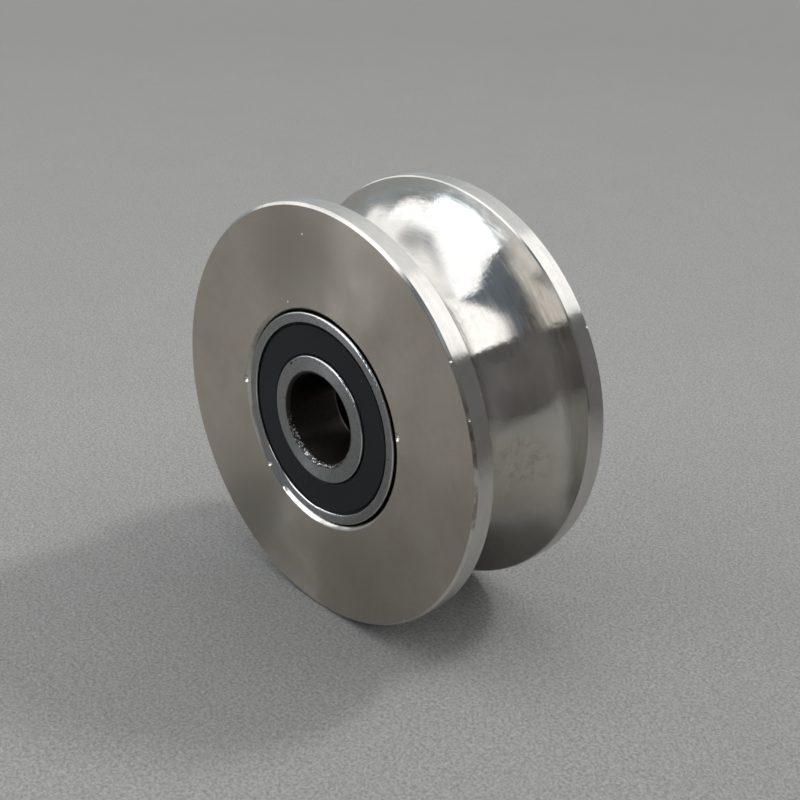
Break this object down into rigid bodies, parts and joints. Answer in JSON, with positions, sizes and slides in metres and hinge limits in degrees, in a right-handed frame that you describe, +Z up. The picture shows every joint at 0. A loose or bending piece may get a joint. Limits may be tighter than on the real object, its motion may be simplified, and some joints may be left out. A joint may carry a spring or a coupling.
{
  "type": "grooved pulley",
  "caption": "Turned steel pulley wheel with a round rope groove between two flanges, running on sealed ball bearings with an axle bore.",
  "frame": {"origin": "middle of the wheel on its axis, halfway between its two faces", "axes": "+Y along the axle, from the front face to the rear face; +Z up; +X to the right seen from the front"},
  "size_m": [0.079, 0.0326, 0.079],
  "materials": {
    "wheel_steel": "turned satin faces, polished groove",
    "ring_steel": "ground",
    "seal_rubber": "satin black rubber",
    "cage_steel": "pressed sheet",
    "ball_steel": "polished"
  },
  "bodies": {
    "inner_rings": {"front_inner_ring": "ring_steel", "rear_inner_ring": "ring_steel"},
    "pulley": {"pulley_body": "wheel_steel", "front_outer_ring": "ring_steel", "front_outside_seal": "seal_rubber", "front_inside_seal": "seal_rubber", "rear_outer_ring": "ring_steel", "rear_outside_seal": "seal_rubber", "rear_inside_seal": "seal_rubber"},
    "front_cage": {"front_outside_cage_half": "cage_steel", "front_inside_cage_half": "cage_steel", "front_cage_rivets": "cage_steel"},
    "front_ball_1": {"front_ball_1": "ball_steel"},
    "front_ball_2": {"front_ball_2": "ball_steel"},
    "front_ball_3": {"front_ball_3": "ball_steel"},
    "front_ball_4": {"front_ball_4": "ball_steel"},
    "front_ball_5": {"front_ball_5": "ball_steel"},
    "front_ball_6": {"front_ball_6": "ball_steel"},
    "front_ball_7": {"front_ball_7": "ball_steel"},
    "front_ball_8": {"front_ball_8": "ball_steel"},
    "rear_cage": {"rear_outside_cage_half": "cage_steel", "rear_inside_cage_half": "cage_steel", "rear_cage_rivets": "cage_steel"},
    "rear_ball_1": {"rear_ball_1": "ball_steel"},
    "rear_ball_2": {"rear_ball_2": "ball_steel"},
    "rear_ball_3": {"rear_ball_3": "ball_steel"},
    "rear_ball_4": {"rear_ball_4": "ball_steel"},
    "rear_ball_5": {"rear_ball_5": "ball_steel"},
    "rear_ball_6": {"rear_ball_6": "ball_steel"},
    "rear_ball_7": {"rear_ball_7": "ball_steel"},
    "rear_ball_8": {"rear_ball_8": "ball_steel"}
  },
  "joints": [
    {"name": "pulley_spin", "type": "hinge", "parent": "inner_rings", "child": "pulley", "pos_m": [0, 0, 0], "axis": [0, 1, 0], "continuous": true},
    {"name": "front_cage_turn", "type": "hinge", "parent": "inner_rings", "child": "front_cage", "pos_m": [0, -0.0103, 0], "axis": [0, 1, 0], "continuous": true},
    {"name": "front_ball_1_roll", "type": "hinge", "parent": "front_cage", "child": "front_ball_1", "pos_m": [0.01317, -0.0103, 0.00545], "axis": [0, 1, 0], "continuous": true},
    {"name": "front_ball_2_roll", "type": "hinge", "parent": "front_cage", "child": "front_ball_2", "pos_m": [0.00545, -0.0103, 0.01317], "axis": [0, 1, 0], "continuous": true},
    {"name": "front_ball_3_roll", "type": "hinge", "parent": "front_cage", "child": "front_ball_3", "pos_m": [-0.00545, -0.0103, 0.01317], "axis": [0, 1, 0], "continuous": true},
    {"name": "front_ball_4_roll", "type": "hinge", "parent": "front_cage", "child": "front_ball_4", "pos_m": [-0.01317, -0.0103, 0.00545], "axis": [0, 1, 0], "continuous": true},
    {"name": "front_ball_5_roll", "type": "hinge", "parent": "front_cage", "child": "front_ball_5", "pos_m": [-0.01317, -0.0103, -0.00545], "axis": [0, 1, 0], "continuous": true},
    {"name": "front_ball_6_roll", "type": "hinge", "parent": "front_cage", "child": "front_ball_6", "pos_m": [-0.00545, -0.0103, -0.01317], "axis": [0, 1, 0], "continuous": true},
    {"name": "front_ball_7_roll", "type": "hinge", "parent": "front_cage", "child": "front_ball_7", "pos_m": [0.00545, -0.0103, -0.01317], "axis": [0, 1, 0], "continuous": true},
    {"name": "front_ball_8_roll", "type": "hinge", "parent": "front_cage", "child": "front_ball_8", "pos_m": [0.01317, -0.0103, -0.00545], "axis": [0, 1, 0], "continuous": true},
    {"name": "rear_cage_turn", "type": "hinge", "parent": "inner_rings", "child": "rear_cage", "pos_m": [0, 0.0103, 0], "axis": [0, 1, 0], "continuous": true},
    {"name": "rear_ball_1_roll", "type": "hinge", "parent": "rear_cage", "child": "rear_ball_1", "pos_m": [0.01317, 0.0103, 0.00545], "axis": [0, 1, 0], "continuous": true},
    {"name": "rear_ball_2_roll", "type": "hinge", "parent": "rear_cage", "child": "rear_ball_2", "pos_m": [0.00545, 0.0103, 0.01317], "axis": [0, 1, 0], "continuous": true},
    {"name": "rear_ball_3_roll", "type": "hinge", "parent": "rear_cage", "child": "rear_ball_3", "pos_m": [-0.00545, 0.0103, 0.01317], "axis": [0, 1, 0], "continuous": true},
    {"name": "rear_ball_4_roll", "type": "hinge", "parent": "rear_cage", "child": "rear_ball_4", "pos_m": [-0.01317, 0.0103, 0.00545], "axis": [0, 1, 0], "continuous": true},
    {"name": "rear_ball_5_roll", "type": "hinge", "parent": "rear_cage", "child": "rear_ball_5", "pos_m": [-0.01317, 0.0103, -0.00545], "axis": [0, 1, 0], "continuous": true},
    {"name": "rear_ball_6_roll", "type": "hinge", "parent": "rear_cage", "child": "rear_ball_6", "pos_m": [-0.00545, 0.0103, -0.01317], "axis": [0, 1, 0], "continuous": true},
    {"name": "rear_ball_7_roll", "type": "hinge", "parent": "rear_cage", "child": "rear_ball_7", "pos_m": [0.00545, 0.0103, -0.01317], "axis": [0, 1, 0], "continuous": true},
    {"name": "rear_ball_8_roll", "type": "hinge", "parent": "rear_cage", "child": "rear_ball_8", "pos_m": [0.01317, 0.0103, -0.00545], "axis": [0, 1, 0], "continuous": true}
  ],
  "couplings": [
    {"joint": "front_cage_turn", "follows": "pulley_spin", "ratio": 0.61837},
    {"joint": "front_ball_1_roll", "follows": "pulley_spin", "ratio": 1.9937},
    {"joint": "front_ball_2_roll", "follows": "pulley_spin", "ratio": 1.9937},
    {"joint": "front_ball_3_roll", "follows": "pulley_spin", "ratio": 1.9937},
    {"joint": "front_ball_4_roll", "follows": "pulley_spin", "ratio": 1.9937},
    {"joint": "front_ball_5_roll", "follows": "pulley_spin", "ratio": 1.9937},
    {"joint": "front_ball_6_roll", "follows": "pulley_spin", "ratio": 1.9937},
    {"joint": "front_ball_7_roll", "follows": "pulley_spin", "ratio": 1.9937},
    {"joint": "front_ball_8_roll", "follows": "pulley_spin", "ratio": 1.9937},
    {"joint": "rear_cage_turn", "follows": "pulley_spin", "ratio": 0.61837},
    {"joint": "rear_ball_1_roll", "follows": "pulley_spin", "ratio": 1.9937},
    {"joint": "rear_ball_2_roll", "follows": "pulley_spin", "ratio": 1.9937},
    {"joint": "rear_ball_3_roll", "follows": "pulley_spin", "ratio": 1.9937},
    {"joint": "rear_ball_4_roll", "follows": "pulley_spin", "ratio": 1.9937},
    {"joint": "rear_ball_5_roll", "follows": "pulley_spin", "ratio": 1.9937},
    {"joint": "rear_ball_6_roll", "follows": "pulley_spin", "ratio": 1.9937},
    {"joint": "rear_ball_7_roll", "follows": "pulley_spin", "ratio": 1.9937},
    {"joint": "rear_ball_8_roll", "follows": "pulley_spin", "ratio": 1.9937}
  ]
}
